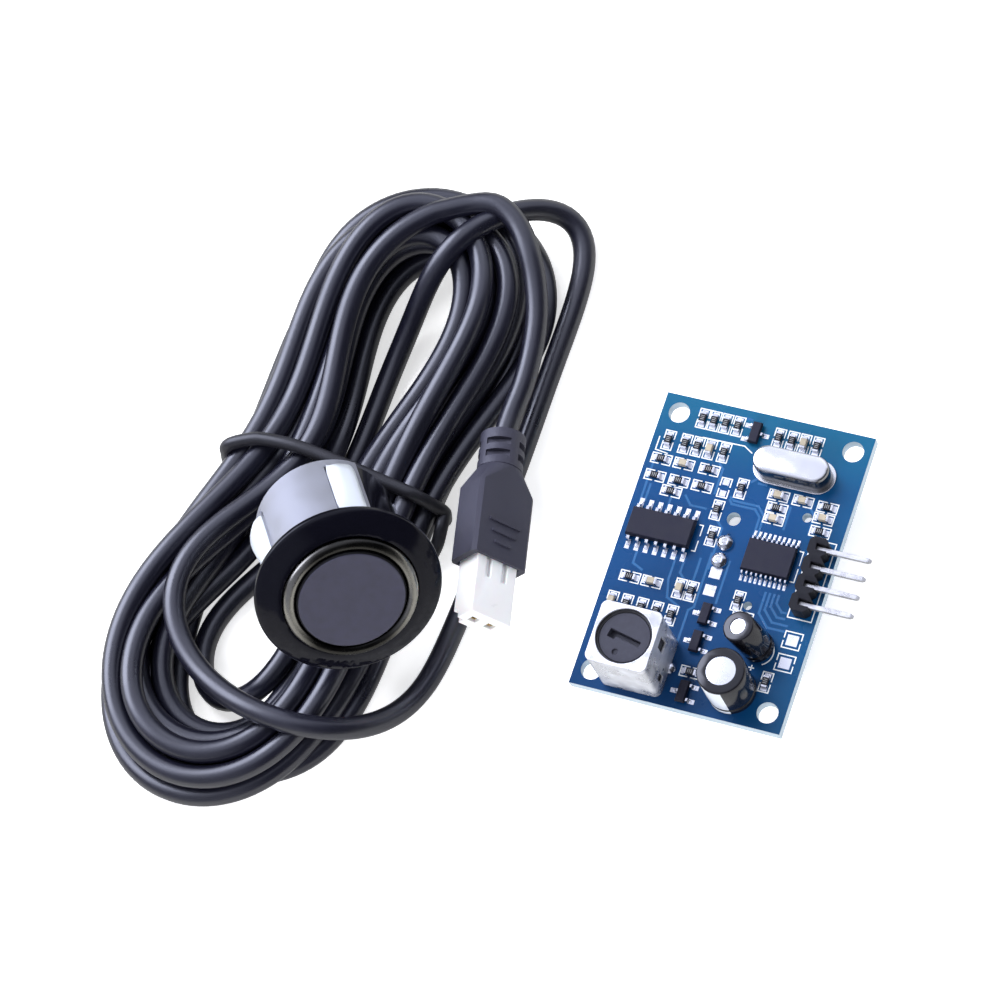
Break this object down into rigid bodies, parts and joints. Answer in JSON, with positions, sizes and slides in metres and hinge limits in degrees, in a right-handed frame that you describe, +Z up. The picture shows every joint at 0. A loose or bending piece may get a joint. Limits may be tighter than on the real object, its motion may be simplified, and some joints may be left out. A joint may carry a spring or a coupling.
{
  "type": "ultrasonic sensor",
  "caption": "Waterproof ultrasonic distance sensor: a driver board with a tuning transformer, and a snap-in probe on a long tied lead with a two-way plug.",
  "frame": {"origin": "on the surface that the sensor stands on, under the centre of the board's four fixing holes", "axes": "+Z up, square to the circuit board; +X across the board towards its header pins; +Y along the board"},
  "size_m": [0.0984, 0.0923, 0.0333],
  "materials": {
    "board_blue": "glossy",
    "solder": "satin",
    "socket_nylon": "satin",
    "tinned_pin": "polished",
    "header_black": "satin",
    "can_tin": "satin",
    "frame_black": "satin",
    "ferrite": "matte",
    "copper_wire": "glossy",
    "can_aluminium": "satin",
    "sleeve_black": "glossy",
    "bung_rubber": "matte",
    "crystal_steel": "satin",
    "chip_epoxy": "matte",
    "resistor_body": "glossy",
    "capacitor_body": "satin",
    "probe_gloss": "glossy",
    "ring_rubber": "satin",
    "face_grey": "matte",
    "piezo": "satin",
    "felt": "matte",
    "wire_red": "glossy",
    "potting": "glossy",
    "clip_steel": "satin",
    "boot_rubber": "satin",
    "lead_pvc": "satin",
    "tie_pvc": "satin",
    "plug_pvc": "matte",
    "plug_nylon": "satin",
    "contact_brass": "satin"
  },
  "bodies": {
    "root": {"circuit_board": "board_blue", "solder_joints": "solder", "socket_shroud": "socket_nylon", "socket_pin_1": "tinned_pin", "socket_pin_2": "tinned_pin", "header_strip": "header_black", "header_pin_1": "tinned_pin", "header_pin_2": "tinned_pin", "header_pin_3": "tinned_pin", "header_pin_4": "tinned_pin", "transformer_can": "can_tin", "transformer_frame": "frame_black", "transformer_drum": "ferrite", "transformer_winding": "copper_wire", "transformer_pins": "tinned_pin", "large_capacitor_can": "can_aluminium", "large_capacitor_sleeve": "sleeve_black", "large_capacitor_bung": "bung_rubber", "large_capacitor_leads": "tinned_pin", "small_capacitor_can": "can_aluminium", "small_capacitor_sleeve": "sleeve_black", "small_capacitor_bung": "bung_rubber", "small_capacitor_leads": "tinned_pin", "crystal_can": "crystal_steel", "crystal_base": "crystal_steel", "crystal_leads": "tinned_pin", "amplifier_chip": "chip_epoxy", "amplifier_leads": "tinned_pin", "controller_chip": "chip_epoxy", "controller_leads": "tinned_pin", "transistor_1": "chip_epoxy", "transistor_2": "chip_epoxy", "transistor_3": "chip_epoxy", "transistor_4": "chip_epoxy", "transistor_leads": "tinned_pin", "chip_resistors": "resistor_body", "chip_capacitors": "capacitor_body", "chip_end_caps": "solder", "probe_housing": "probe_gloss", "isolation_ring": "ring_rubber", "transducer_cup": "face_grey", "piezo_disc": "piezo", "damping_pad": "felt", "probe_wires": "wire_red", "potting": "potting", "spring_clip": "clip_steel", "probe_boot": "boot_rubber", "lead_hank": "lead_pvc", "lead_from_probe": "lead_pvc", "lead_to_plug": "lead_pvc", "hank_tie": "tie_pvc", "plug_overmould": "plug_pvc", "plug_housing": "plug_nylon", "plug_contact_1": "contact_brass", "plug_contact_2": "contact_brass"},
    "core": {"tuning_core": "ferrite"}
  },
  "joints": [
    {"name": "core_turn", "type": "hinge", "parent": "root", "child": "core", "pos_m": [-0.00615, -0.0156, 0.0126], "axis": [0, 0, 1], "range_deg": [-360, 360]}
  ]
}
